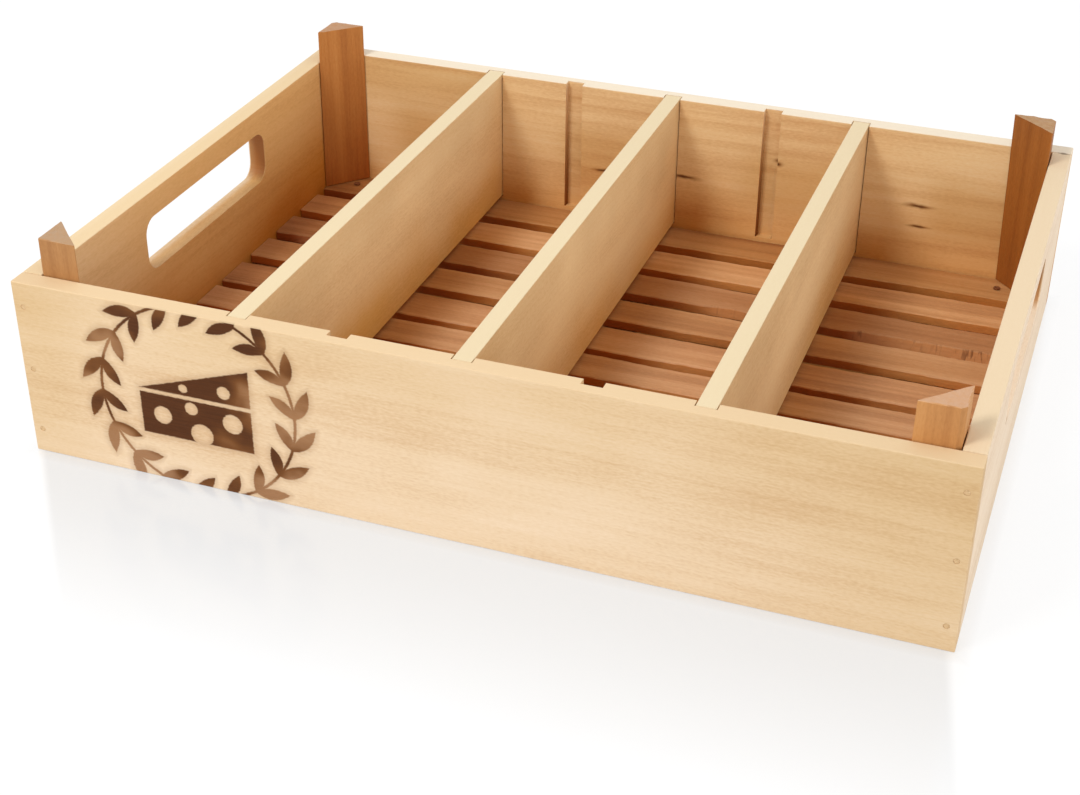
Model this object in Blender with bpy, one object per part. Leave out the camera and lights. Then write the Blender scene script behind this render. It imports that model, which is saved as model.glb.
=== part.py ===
"""Wooden cheese crate with a slatted floor, hand holes, corner posts and three lift-out dividers.

Metres. +X runs to the right along the front panel, +Y from the front to the back and +Z up.
The origin is the middle of the crate's footprint, on the surface that the crate stands on.
"""

import math

import bmesh
import bpy
from mathutils import Matrix, Vector

# Crate
CRATE_WIDTH = 0.400
CRATE_DEPTH = 0.300
PANEL_HEIGHT = 0.083
LONG_PANEL_THICKNESS = 0.009
END_PANEL_THICKNESS = 0.009
EDGE_EASE = 0.0004
EDGE_EASE_STEPS = 2
SEAT_GAP = 0.0003
CUT_OVERRUN = 0.002

# Floor
BEARER_WIDTH = 0.030
BEARER_THICKNESS = 0.0057
SLAT_WIDTH = 0.022
SLAT_THICKNESS = 0.005
SLAT_GAP_AIM = 0.006

# Corner posts, right-angled triangles in section, whose tops stand above the panels
POST_LEG = 0.0185
POST_PROUD = 0.017

# Dividers, and the grooves that hold them upright
DIVIDER_NAMES = ("left_divider", "middle_divider", "right_divider")
DIVIDER_THICKNESS = 0.0082
GROOVE_DEPTH = 0.0042
GROOVE_SIDE_CLEARANCE = 0.0004
GROOVE_END_CLEARANCE = 0.0004
GROOVE_STOP_ABOVE_FLOOR = 0.0018
SPARE_GROOVE_OFFSET = 0.053

# Hand holes in the end panels, a little nearer the front than the back
HAND_HOLE_LENGTH = 0.116
HAND_HOLE_HEIGHT = 0.026
HAND_HOLE_CORNER_RADIUS = 0.008
HAND_HOLE_BELOW_TOP = 0.0125
HAND_HOLE_FORWARD = 0.002
CORNER_STEPS = 6

# Brads that hold the long panels to the ends of the end panels
BRAD_HEIGHT_NAMES = ("bottom", "middle", "top")
BRAD_EDGE_DISTANCE = 0.0115
BRAD_LENGTH = 0.025
BRAD_RADIUS = 0.0006
BRAD_HEAD_RADIUS = 0.0010
BRAD_HEAD_THICKNESS = 0.0008
BRAD_HEAD_DEPTH = 0.0001

# Nails that hold the first and last slats to the end bearers
FLOOR_NAIL_RADIUS = 0.0007
FLOOR_NAIL_HEAD_RADIUS = 0.0017
FLOOR_NAIL_HEAD_THICKNESS = 0.0006
FLOOR_NAIL_TIP_COVER = 0.0015

NAIL_POINT_PER_RADIUS = 3.0
NAIL_SIDES = 12
SHARP_ANGLE = math.radians(30)
NAIL_HOLE_CLEARANCE = 0.0003

# Places that follow from the sizes above
INNER_WIDTH = CRATE_WIDTH - 2 * END_PANEL_THICKNESS
INNER_DEPTH = CRATE_DEPTH - 2 * LONG_PANEL_THICKNESS
SLAT_BOTTOM_Z = BEARER_THICKNESS + SEAT_GAP
FLOOR_Z = SLAT_BOTTOM_Z + SLAT_THICKNESS
GROOVE_STOP_Z = FLOOR_Z + GROOVE_STOP_ABOVE_FLOOR
GROOVE_WIDTH = DIVIDER_THICKNESS + 2 * GROOVE_SIDE_CLEARANCE
DIVIDER_BOTTOM_Z = GROOVE_STOP_Z + SEAT_GAP
END_PANEL_LENGTH = INNER_DEPTH - 2 * SEAT_GAP
SLAT_LENGTH = INNER_WIDTH - 2 * SEAT_GAP
BEARER_LENGTH = INNER_DEPTH - 2 * SEAT_GAP

# Finishes: colour, roughness and metallic value
FINISHES = {
    "panel_wood": ((0.78, 0.60, 0.37), 0.55, 0.0),
    "divider_wood": ((0.74, 0.55, 0.32), 0.55, 0.0),
    "post_wood": ((0.45, 0.22, 0.09), 0.60, 0.0),
    "slat_wood": ((0.55, 0.33, 0.19), 0.70, 0.0),
    "bearer_wood": ((0.50, 0.31, 0.18), 0.70, 0.0),
    "nail_steel": ((0.42, 0.40, 0.38), 0.40, 1.0),
}


def clear_scene():
    for item in list(bpy.data.objects):
        bpy.data.objects.remove(item, do_unlink=True)


def make_materials():
    materials = {}
    for name, (colour, roughness, metallic) in FINISHES.items():
        material = bpy.data.materials.new(name)
        material.use_nodes = True
        shader = material.node_tree.nodes["Principled BSDF"]
        shader.inputs["Base Color"].default_value = (*colour, 1.0)
        shader.inputs["Roughness"].default_value = roughness
        shader.inputs["Metallic"].default_value = metallic
        material.diffuse_color = (*colour, 1.0)
        materials[name] = material
    return materials


def add_box(bm, low, high):
    """Adds a sharp box between two corners."""
    size = Vector(high) - Vector(low)
    middle = (Vector(high) + Vector(low)) / 2
    place = Matrix.Translation(middle) @ Matrix.Diagonal((*size, 1.0))
    bmesh.ops.create_cube(bm, size=1.0, matrix=place)


def ease_edges(bm):
    """Takes the sharpness off every edge, as sandpaper does."""
    bmesh.ops.bevel(
        bm,
        geom=list(bm.edges),
        offset=EDGE_EASE,
        segments=EDGE_EASE_STEPS,
        profile=0.5,
        affect="EDGES",
        clamp_overlap=True,
    )


def add_prism(bm, outline, start, end):
    """Adds a prism. The functions start and end place an outline's point on its two end faces."""
    first = [bm.verts.new(start(point)) for point in outline]
    last = [bm.verts.new(end(point)) for point in outline]
    bm.faces.new(first)
    bm.faces.new(list(reversed(last)))
    for i, vert in enumerate(first):
        follower = (i + 1) % len(first)
        bm.faces.new((first[follower], vert, last[i], last[follower]))


def add_turned(bm, profile, place):
    """Adds a solid turned about the local Z axis from a profile of radius and height, foot first."""
    rings = []
    for radius, height in profile:
        if radius == 0:
            rings.append([bm.verts.new(place @ Vector((0, 0, height)))])
            continue
        ring = []
        for i in range(NAIL_SIDES):
            angle = math.tau * i / NAIL_SIDES
            point = Vector((radius * math.cos(angle), radius * math.sin(angle), height))
            ring.append(bm.verts.new(place @ point))
        rings.append(ring)
    for lower, upper in zip(rings, rings[1:]):
        for i in range(NAIL_SIDES):
            below = [lower[k % len(lower)] for k in (i, i + 1)]
            above = [upper[k % len(upper)] for k in (i + 1, i)]
            bm.faces.new(list(dict.fromkeys(below + above)))


def finish_mesh(bm, name):
    bmesh.ops.recalc_face_normals(bm, faces=bm.faces)
    mesh = bpy.data.meshes.new(name)
    bm.to_mesh(mesh)
    bm.free()
    return mesh


def place_object(name, mesh, location, parent=None, rotation=(0, 0, 0)):
    item = bpy.data.objects.new(name, mesh)
    bpy.context.scene.collection.objects.link(item)
    item.location = location
    item.rotation_euler = rotation
    item.parent = parent
    return item


def cut_with(item, bm):
    """Cuts a solid with the shapes in bm, which are in world coordinates."""
    cutter = place_object(item.name + "_cutter", finish_mesh(bm, item.name + "_cutter"), (0, 0, 0))
    cutter.hide_render = True
    cutter.display_type = "WIRE"
    modifier = item.modifiers.new("cuts", "BOOLEAN")
    modifier.operation = "DIFFERENCE"
    modifier.solver = "EXACT"
    modifier.object = cutter


def board_mesh(name, size, material):
    """A board with eased edges, centred in X and Y and standing on its own origin."""
    bm = bmesh.new()
    length, width, height = size
    add_box(bm, (-length / 2, -width / 2, 0), (length / 2, width / 2, height))
    ease_edges(bm)
    mesh = finish_mesh(bm, name)
    mesh.materials.append(material)
    return mesh


def nail_profile(length, radius, head_radius, head_thickness, clearance):
    """Half outline of a nail whose head's top is at height 0, or of its hole, with a clearance."""
    point = radius * NAIL_POINT_PER_RADIUS
    shank_radius = radius + clearance
    under_head = -head_thickness - clearance
    return [
        (0, -length - clearance),
        (shank_radius, point - length - clearance),
        (shank_radius, under_head),
        (head_radius + clearance, under_head),
        (head_radius + clearance, clearance),
        (0, clearance),
    ]


def nail_mesh(name, profile, material):
    bm = bmesh.new()
    add_turned(bm, profile, Matrix.Identity(4))
    mesh = finish_mesh(bm, name)
    mesh.materials.append(material)
    mesh.shade_smooth()
    mesh.set_sharp_from_angle(angle=SHARP_ANGLE)
    return mesh


def brad_profile(clearance):
    return nail_profile(BRAD_LENGTH, BRAD_RADIUS, BRAD_HEAD_RADIUS, BRAD_HEAD_THICKNESS, clearance)


def brad_heights():
    count = len(BRAD_HEIGHT_NAMES)
    reach = PANEL_HEIGHT - 2 * BRAD_EDGE_DISTANCE
    return [BRAD_EDGE_DISTANCE + reach * i / (count - 1) for i in range(count)]


def brad_place(side_x, side_y, height):
    """Location and rotation of a brad's head: it points from the long panel into the end panel."""
    x = side_x * (CRATE_WIDTH - END_PANEL_THICKNESS) / 2
    y = side_y * (CRATE_DEPTH / 2 - BRAD_HEAD_DEPTH)
    return (x, y, height), (-side_y * math.pi / 2, 0, 0)


def add_brad_holes(bm, sides_x, sides_y):
    """Adds the cutters of brad holes, open at the long panel's face."""
    for side_x in sides_x:
        for side_y in sides_y:
            for height in brad_heights():
                location, rotation = brad_place(side_x, side_y, height)
                turn = Matrix.Rotation(rotation[0], 4, "X")
                profile = brad_profile(NAIL_HOLE_CLEARANCE)
                profile[-2] = (profile[-2][0], CUT_OVERRUN)
                profile[-1] = (0, CUT_OVERRUN)
                add_turned(bm, profile, Matrix.Translation(location) @ turn)


def divider_positions():
    """X of each divider's middle, for compartments of equal width."""
    count = len(DIVIDER_NAMES)
    compartment = (INNER_WIDTH - count * DIVIDER_THICKNESS) / (count + 1)
    pitch = compartment + DIVIDER_THICKNESS
    return [pitch * (i - (count - 1) / 2) for i in range(count)]


def groove_positions():
    return sorted([*divider_positions(), -SPARE_GROOVE_OFFSET, SPARE_GROOVE_OFFSET])


def add_long_panel(name, side_y, material, parent):
    """The front or the back panel: full width, grooved inside, nailed to the end panels."""
    size = (CRATE_WIDTH, LONG_PANEL_THICKNESS, PANEL_HEIGHT)
    y = side_y * (CRATE_DEPTH - LONG_PANEL_THICKNESS) / 2
    panel = place_object(name, board_mesh(name, size, material), (0, y, 0), parent)
    cuts = bmesh.new()
    inner_y = side_y * INNER_DEPTH / 2
    groove_y = inner_y + side_y * GROOVE_DEPTH
    open_y = inner_y - side_y * CUT_OVERRUN
    for x in groove_positions():
        low = (x - GROOVE_WIDTH / 2, min(groove_y, open_y), GROOVE_STOP_Z)
        high = (x + GROOVE_WIDTH / 2, max(groove_y, open_y), PANEL_HEIGHT + CUT_OVERRUN)
        add_box(cuts, low, high)
    add_brad_holes(cuts, (-1, 1), (side_y,))
    cut_with(panel, cuts)


def hand_hole_outline():
    """Corner arcs of the hand hole, as points of Y and Z."""
    top = PANEL_HEIGHT - HAND_HOLE_BELOW_TOP
    middle_z = top - HAND_HOLE_HEIGHT / 2
    radius = min(HAND_HOLE_CORNER_RADIUS, HAND_HOLE_HEIGHT / 2, HAND_HOLE_LENGTH / 2)
    straight_y = HAND_HOLE_LENGTH / 2 - radius
    straight_z = HAND_HOLE_HEIGHT / 2 - radius
    points = []
    for quarter, (sign_y, sign_z) in enumerate(((1, 1), (-1, 1), (-1, -1), (1, -1))):
        centre_y = sign_y * straight_y - HAND_HOLE_FORWARD
        centre_z = sign_z * straight_z + middle_z
        for i in range(CORNER_STEPS + 1):
            angle = math.pi / 2 * (quarter + i / CORNER_STEPS)
            points.append((centre_y + radius * math.cos(angle), centre_z + radius * math.sin(angle)))
    return points


def add_end_panel(name, side_x, material, parent):
    """The left or the right panel: between the long panels, with a hand hole."""
    size = (END_PANEL_THICKNESS, END_PANEL_LENGTH, PANEL_HEIGHT)
    x = side_x * (CRATE_WIDTH - END_PANEL_THICKNESS) / 2
    panel = place_object(name, board_mesh(name, size, material), (x, 0, 0), parent)
    cuts = bmesh.new()
    reach = END_PANEL_THICKNESS / 2 + CUT_OVERRUN
    outline = hand_hole_outline()
    add_prism(cuts, outline, lambda p: (x - reach, p[0], p[1]), lambda p: (x + reach, p[0], p[1]))
    add_brad_holes(cuts, (side_x,), (-1, 1))
    cut_with(panel, cuts)


def add_post(name, side_x, side_y, material, parent):
    """A corner post: its square corner fits the crate's corner and its slanted face looks inwards."""
    x = side_x * (INNER_WIDTH / 2 - SEAT_GAP)
    y = side_y * (INNER_DEPTH / 2 - SEAT_GAP)
    foot = FLOOR_Z + SEAT_GAP
    height = PANEL_HEIGHT + POST_PROUD - foot
    outline = [(0, 0), (-side_x * POST_LEG, 0), (0, -side_y * POST_LEG)]
    bm = bmesh.new()
    add_prism(bm, outline, lambda p: (p[0], p[1], 0), lambda p: (p[0], p[1], height))
    ease_edges(bm)
    mesh = finish_mesh(bm, name)
    mesh.materials.append(material)
    place_object(name, mesh, (x, y, foot), parent)


def slat_positions():
    """Y of each slat's middle: as many slats as fit with about the aimed gap, spread evenly."""
    span = INNER_DEPTH - 2 * SEAT_GAP
    count = max(2, int((span + SLAT_GAP_AIM) / (SLAT_WIDTH + SLAT_GAP_AIM)))
    pitch = (span - SLAT_WIDTH) / (count - 1)
    return [pitch * (i - (count - 1) / 2) for i in range(count)]


def end_bearer_x():
    return INNER_WIDTH / 2 - SEAT_GAP - BEARER_WIDTH / 2


def floor_nail_profile(clearance):
    length = FLOOR_Z + SEAT_GAP + FLOOR_NAIL_HEAD_THICKNESS - FLOOR_NAIL_TIP_COVER
    return nail_profile(
        length,
        FLOOR_NAIL_RADIUS,
        FLOOR_NAIL_HEAD_RADIUS,
        FLOOR_NAIL_HEAD_THICKNESS,
        clearance,
    )


def floor_nail_place(side_x, side_y):
    """Where a floor nail's head lies: where an end bearer crosses the first or the last slat."""
    y = slat_positions()[0 if side_y < 0 else -1]
    z = FLOOR_Z + SEAT_GAP + FLOOR_NAIL_HEAD_THICKNESS
    return (side_x * end_bearer_x(), y, z)


def add_floor_nail_holes(bm, sides_x, sides_y):
    for side_x in sides_x:
        for side_y in sides_y:
            place = Matrix.Translation(floor_nail_place(side_x, side_y))
            add_turned(bm, floor_nail_profile(NAIL_HOLE_CLEARANCE), place)


def add_floor(materials, parent):
    """Three bearers from front to back, and the slats that lie across them."""
    bearer_size = (BEARER_WIDTH, BEARER_LENGTH, BEARER_THICKNESS)
    for name, side_x in (("left_bearer", -1), ("middle_bearer", 0), ("right_bearer", 1)):
        mesh = board_mesh(name, bearer_size, materials["bearer_wood"])
        bearer = place_object(name, mesh, (side_x * end_bearer_x(), 0, 0), parent)
        if side_x:
            holes = bmesh.new()
            add_floor_nail_holes(holes, (side_x,), (-1, 1))
            cut_with(bearer, holes)

    slat_size = (SLAT_LENGTH, SLAT_WIDTH, SLAT_THICKNESS)
    slat_mesh = board_mesh("slat", slat_size, materials["slat_wood"])
    places = slat_positions()
    for i, y in enumerate(places[1:-1]):
        place_object(f"floor_slat_{i + 2:02d}", slat_mesh, (0, y, SLAT_BOTTOM_Z), parent)
    for name, side_y, y in (("floor_slat_front", -1, places[0]), ("floor_slat_back", 1, places[-1])):
        slat = place_object(name, slat_mesh, (0, y, SLAT_BOTTOM_Z), parent)
        holes = bmesh.new()
        add_floor_nail_holes(holes, (-1, 1), (side_y,))
        cut_with(slat, holes)


def add_dividers(material, parent):
    """The dividers stand in the grooves, on the grooves' stopped ends, and lift straight out."""
    length = INNER_DEPTH + 2 * GROOVE_DEPTH - 2 * GROOVE_END_CLEARANCE
    size = (DIVIDER_THICKNESS, length, PANEL_HEIGHT - DIVIDER_BOTTOM_Z)
    mesh = board_mesh("divider", size, material)
    for name, x in zip(DIVIDER_NAMES, divider_positions()):
        place_object(name, mesh, (x, 0, DIVIDER_BOTTOM_Z), parent)


def add_nails(material, parent):
    brad = nail_mesh("brad", brad_profile(0), material)
    for x_name, side_x in (("left", -1), ("right", 1)):
        for y_name, side_y in (("front", -1), ("back", 1)):
            for z_name, height in zip(BRAD_HEIGHT_NAMES, brad_heights()):
                location, rotation = brad_place(side_x, side_y, height)
                place_object(f"brad_{y_name}_{x_name}_{z_name}", brad, location, parent, rotation)

    floor_nail = nail_mesh("floor_nail", floor_nail_profile(0), material)
    for x_name, side_x in (("left", -1), ("right", 1)):
        for y_name, side_y in (("front", -1), ("back", 1)):
            location = floor_nail_place(side_x, side_y)
            place_object(f"floor_nail_{y_name}_{x_name}", floor_nail, location, parent)


def build_crate():
    clear_scene()
    materials = make_materials()
    frame = place_object("crate_frame", None, (0, 0, 0))
    add_long_panel("front_panel", -1, materials["panel_wood"], frame)
    add_long_panel("back_panel", 1, materials["panel_wood"], frame)
    add_end_panel("left_end_panel", -1, materials["panel_wood"], frame)
    add_end_panel("right_end_panel", 1, materials["panel_wood"], frame)
    for x_name, side_x in (("left", -1), ("right", 1)):
        for y_name, side_y in (("front", -1), ("back", 1)):
            add_post(f"{y_name}_{x_name}_post", side_x, side_y, materials["post_wood"], frame)
    add_floor(materials, frame)
    add_dividers(materials["divider_wood"], frame)
    add_nails(materials["nail_steel"], frame)


build_crate()
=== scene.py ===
"""Looks of the cheese crate: its woods, rough sawn floor, burned mark, nails, light and camera.

Everything is in metres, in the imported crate's own frame: centred on the origin, front towards -Y.
"""

import math
from dataclasses import dataclass, replace

import bmesh
import bpy
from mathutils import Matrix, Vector, noise


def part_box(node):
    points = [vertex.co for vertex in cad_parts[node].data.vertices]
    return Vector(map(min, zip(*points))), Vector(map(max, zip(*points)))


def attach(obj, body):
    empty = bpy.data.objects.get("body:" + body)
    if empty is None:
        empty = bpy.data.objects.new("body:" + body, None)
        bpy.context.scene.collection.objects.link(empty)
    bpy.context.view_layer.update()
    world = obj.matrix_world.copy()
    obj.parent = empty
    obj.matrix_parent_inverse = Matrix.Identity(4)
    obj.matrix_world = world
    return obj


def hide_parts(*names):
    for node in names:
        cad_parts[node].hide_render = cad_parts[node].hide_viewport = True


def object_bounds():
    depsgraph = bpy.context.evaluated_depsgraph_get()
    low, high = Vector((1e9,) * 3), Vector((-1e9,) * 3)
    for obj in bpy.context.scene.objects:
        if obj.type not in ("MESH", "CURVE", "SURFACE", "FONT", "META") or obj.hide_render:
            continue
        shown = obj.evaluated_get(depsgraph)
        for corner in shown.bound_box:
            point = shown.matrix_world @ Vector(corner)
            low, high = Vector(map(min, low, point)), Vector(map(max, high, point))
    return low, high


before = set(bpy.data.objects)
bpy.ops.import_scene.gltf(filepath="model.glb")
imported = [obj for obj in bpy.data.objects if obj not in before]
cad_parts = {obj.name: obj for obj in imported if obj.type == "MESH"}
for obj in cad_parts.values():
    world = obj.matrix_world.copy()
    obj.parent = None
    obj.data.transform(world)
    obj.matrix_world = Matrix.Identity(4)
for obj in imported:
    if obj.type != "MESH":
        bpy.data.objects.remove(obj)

CAD_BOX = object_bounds()

# Camera, from the fit of the crate's corners to the photograph
CAMERA_LENS = 60.03
CAMERA_SENSOR = 36.0
CAMERA_PLACE = (0.2319, -0.6989, 0.4317)
CAMERA_TURN = (58.67, -0.355, 20.03)

# The white room: its light at the horizon and overhead, and the heights between which it changes
HORIZON_LEVEL = 1.28
HORIZON_TOP = 0.35
ZENITH_LEVEL = 0.67
ZENITH_FOOT = 0.65
# How much brighter the horizon is to the right and at the back
HORIZON_LEAN_RIGHT = 0.58
HORIZON_LEAN_BACK = 0.30
# The soft box
KEY_PLACE = (-0.55, -1.0, 1.4)
KEY_SIDE = 0.45
KEY_WATTS = 14.5

# Floor: its size, its drop below the crate, what it reflects and glows, and what it gives back to the crate
FLOOR_HALF = 4.0
FLOOR_DROP = 0.0001
FLOOR_COLOUR = 0.14
FLOOR_GLOW = 0.88
FLOOR_BOUNCE = 0.7
# The share of the floor that mirrors: right beside the crate, round it and far away
FLOOR_MIRROR_BESIDE = 0.22
FLOOR_MIRROR_NEAR = 0.09
FLOOR_MIRROR_FAR = 0.03
FLOOR_MIRROR_SEAM = 0.012
FLOOR_MIRROR_REACH = 0.13
FLOOR_MIRROR_ROUGHNESS = 0.18
# The painted soft shade of the floor in front of the crate, where the mirror image lies
FLOOR_SHADE = 0.86
FLOOR_SHADE_EDGE = 0.005
# How far its left and right limits lean to the right, per metre ahead of the crate
FLOOR_SHADE_LEAN_LEFT = 0.74
FLOOR_SHADE_LEAN_RIGHT = 0.20
# The painted warm shade under the crate
FLOOR_UNDER = 0.30
FLOOR_UNDER_SHADE = "C47A3C"
FLOOR_DARK_EDGE = 0.012


@dataclass
class Wood:
    """How one kind of wood looks. Shades are hex codes, lengths are metres and strengths are shares."""

    light: str
    middle: str
    dark: str
    end_grain: str
    ring_spacing: float
    ring_strength: float
    fibre_strength: float
    fleck_strength: float
    patch_strength: float
    band_strength: float
    roughness: float
    relief: float
    wear: float = 0.5
    pith_across: float = 0.09
    pith_depth: float = 0.06
    sway: float = 0.005
    band_width: float = 0.012
    gloss: float = 0.3


WOODS = {
    "panel_wood": Wood(
        light="ECD4B5", middle="E1C49D", dark="CAA375", end_grain="DFBF97",
        ring_spacing=0.0055, ring_strength=0.09, fibre_strength=0.22, fleck_strength=0.45,
        patch_strength=0.6, band_strength=0.5, roughness=0.55, relief=0.00004,
    ),
    "divider_wood": Wood(
        light="FBE1B2", middle="F1D19F", dark="DAB27C", end_grain="F5D9AE",
        ring_spacing=0.0030, ring_strength=0.05, fibre_strength=0.28, fleck_strength=0.5,
        patch_strength=0.9, band_strength=0.3, roughness=0.55, relief=0.00004,
    ),
    "post_wood": Wood(
        light="BE8247", middle="A86A32", dark="86491B", end_grain="D2A67E",
        ring_spacing=0.0026, ring_strength=0.04, fibre_strength=0.18, fleck_strength=0.25,
        patch_strength=0.6, band_strength=0.8, roughness=0.6, relief=0.00008, band_width=0.006,
    ),
    "slat_wood": Wood(
        light="E8B787", middle="D09966", dark="A87146", end_grain="A8713F",
        ring_spacing=0.0060, ring_strength=0.05, fibre_strength=0.18, fleck_strength=0.25,
        patch_strength=1.0, band_strength=1.0, roughness=0.72, relief=0.00014, band_width=0.006,
    ),
    "bearer_wood": Wood(
        light="C9925F", middle="B27A49", dark="8C5C34", end_grain="A06C3F",
        ring_spacing=0.0035, ring_strength=0.5, fibre_strength=1.1, fleck_strength=0.8,
        patch_strength=0.9, band_strength=0.4, roughness=0.72, relief=0.00020,
    ),
}


def shade(code):
    """The linear colour of a hex shade as it looks on screen."""
    levels = [int(code[i:i + 2], 16) / 255 for i in (0, 2, 4)]
    linear = [v / 12.92 if v <= 0.04045 else ((v + 0.055) / 1.055) ** 2.4 for v in levels]
    return (*linear, 1.0)


class Shader:
    """The nodes of a material or a world. Its methods add a node and return its output socket."""

    def __init__(self, owner):
        owner.use_nodes = True
        self.owner = owner
        self.tree = owner.node_tree
        self.surface = self.tree.nodes.get("Principled BSDF")

    def node(self, kind, *values, **settings):
        """A new node with its settings, and with the values on its first inputs."""
        item = self.tree.nodes.new(kind)
        for name, value in settings.items():
            setattr(item, name, value)
        for socket, value in zip(item.inputs, values):
            self.feed(socket, value)
        return item

    def feed(self, socket, value):
        if isinstance(value, bpy.types.NodeSocket):
            self.tree.links.new(value, socket)
        else:
            socket.default_value = value

    def math(self, operation, *values, clamp=False):
        return self.node("ShaderNodeMath", *values, operation=operation, use_clamp=clamp).outputs[0]

    def fold(self, operation, values):
        """One value from several, taken two by two."""
        result = values[0]
        for value in values[1:]:
            result = self.math(operation, result, value)
        return result

    def total(self, *values):
        return self.fold("ADD", values)

    def minus(self, value, other):
        return self.math("SUBTRACT", value, other)

    def product(self, *values):
        return self.fold("MULTIPLY", values)

    def highest(self, *values):
        return self.fold("MAXIMUM", values)

    def lowest(self, *values):
        return self.fold("MINIMUM", values)

    def vector_math(self, operation, *values):
        item = self.node("ShaderNodeVectorMath", *values, operation=operation)
        return item.outputs["Value" if operation in ("DOT_PRODUCT", "DISTANCE", "LENGTH") else "Vector"]

    def combine(self, x, y, z):
        return self.node("ShaderNodeCombineXYZ", x, y, z).outputs[0]

    def separate(self, vector):
        return list(self.node("ShaderNodeSeparateXYZ", vector).outputs)

    def noise(self, vector, scale, detail=2.0, roughness=0.5):
        """Noise from 0 to 1 with a feature size of its own on each axis."""
        item = self.node("ShaderNodeTexNoise")
        self.feed(item.inputs["Vector"], self.vector_math("MULTIPLY", vector, scale))
        item.inputs["Scale"].default_value = 1.0
        item.inputs["Detail"].default_value = detail
        item.inputs["Roughness"].default_value = roughness
        return item.outputs["Fac"]

    def drift(self, vector, scale, detail, reach):
        """Noise from -reach to reach."""
        return self.math("MULTIPLY_ADD", self.noise(vector, scale, detail), 2 * reach, -reach)

    def step(self, value, low, high, first=0.0, last=1.0):
        """A smooth step from first to last while value goes from low to high."""
        limits = (value, low, high, first, last)
        return self.node("ShaderNodeMapRange", *limits, interpolation_type="SMOOTHSTEP").outputs[0]

    def ramp(self, value, stops):
        item = self.node("ShaderNodeValToRGB", value)
        ends = item.color_ramp.elements
        while len(ends) < len(stops):
            ends.new(0.5)
        for end, (place, colour) in zip(ends, stops):
            end.position = place
            end.color = colour
        return item.outputs[0]

    def mix(self, factor, first, second, blend="MIX"):
        item = self.node("ShaderNodeMix", data_type="RGBA", blend_type=blend)
        for name, value in (("Factor_Float", factor), ("A_Color", first), ("B_Color", second)):
            socket = next(s for s in item.inputs if s.identifier == name)
            self.feed(socket, value)
        return next(s for s in item.outputs if s.identifier == "Result_Color")

    def tint(self, share, colour, code):
        """The colour multiplied with a hex shade, as far as share goes."""
        return self.mix(share, colour, shade(code), "MULTIPLY")

    def mix_shader(self, factor, first, second):
        return self.node("ShaderNodeMixShader", factor, first, second).outputs[0]

    def place(self):
        """The point and the normal in the crate's frame, which is every object's own."""
        item = self.node("ShaderNodeTexCoord")
        return item.outputs["Object"], item.outputs["Normal"]

    def bump(self, height, depth):
        item = self.node("ShaderNodeBump")
        item.inputs["Strength"].default_value = 1.0
        item.inputs["Distance"].default_value = depth
        self.feed(item.inputs["Height"], height)
        self.feed(self.surface.inputs["Normal"], item.outputs[0])


# Noise of the grain, in features per metre along the grain, across the face and through the board
RING_SWAY_NOISE = (5.0, 18.0, 18.0)
FIBRE_NOISE = (50.0, 1000.0, 1000.0)
FLECK_NOISE = (420.0, 1300.0, 1300.0)
PATCH_NOISE = (9.0, 34.0, 34.0)
BAND_NOISE_ALONG = 3.0
PORE_NOISE = (600.0, 500.0, 500.0)
# The rings: their lean along the board and how uneven they are
RING_LEAN = 0.02
RING_WIDTH_NOISE = (0.0, 0.0, 160.0)
RING_UNEVENNESS = 2.0
RING_MEAN = 0.35
# How far the pores of an end face show
PORE_STRENGTH = 0.35
# The rubbed edges, and how much the fibres change the gloss
RUBBED_NOISE = (260.0, 260.0, 260.0)
RUBBED_RAGGEDNESS = 0.0016
RUBBED_WIDTH = (0.0006, 0.0014)
FIBRE_ROUGHNESS = 0.2


def grain_space(s, point, grain, offset):
    """The point as (along the grain, across the face, through the board), at the board's place in a tree."""
    axes = dict(zip("XYZ", s.separate(point)))
    turned = s.combine(*(axes[letter] for letter in grain))
    return s.vector_math("ADD", turned, offset)


def growth_rings(s, grain_point, wood):
    """Late wood lines: 0 in the pale early wood, 1 on the dark line."""
    sway = s.drift(grain_point, RING_SWAY_NOISE, 3.0, wood.sway)
    along, across, through = s.separate(grain_point)
    lean = s.product(along, RING_LEAN)
    from_pith = s.combine(
        0.0,
        s.total(across, lean, sway, wood.pith_across),
        s.total(through, sway, wood.pith_depth),
    )
    radius = s.vector_math("LENGTH", from_pith)
    uneven = s.noise(s.combine(0.0, 0.0, radius), RING_WIDTH_NOISE, 1.0)
    turns = s.total(s.math("DIVIDE", radius, wood.ring_spacing), s.product(uneven, RING_UNEVENNESS))
    part = s.math("FRACT", turns)
    return s.product(s.step(part, 0.25, 0.88), s.step(part, 0.9, 1.0, 1.0, 0.0))


def wood_tone(s, grain_point, wood):
    """How dark the wood is at each point, from 0 to 1, and the fibre pattern alone."""
    rings = s.minus(growth_rings(s, grain_point, wood), RING_MEAN)
    fibres = s.minus(s.noise(grain_point, FIBRE_NOISE, 3.0, 0.6), 0.5)
    flecks = s.minus(s.noise(grain_point, FLECK_NOISE, 1.0), 0.5)
    patches = s.minus(s.noise(grain_point, PATCH_NOISE, 2.0), 0.5)
    band_noise = (BAND_NOISE_ALONG, 1 / wood.band_width, 1 / wood.band_width)
    bands = s.minus(s.noise(grain_point, band_noise, 2.0, 0.6), 0.5)
    weighted = [
        s.product(rings, wood.ring_strength),
        s.product(fibres, wood.fibre_strength),
        s.product(flecks, wood.fleck_strength),
        s.product(patches, wood.patch_strength),
        s.product(bands, wood.band_strength),
    ]
    return s.math("ADD", s.total(*weighted), 0.5, clamp=True), s.total(fibres, flecks)


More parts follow.
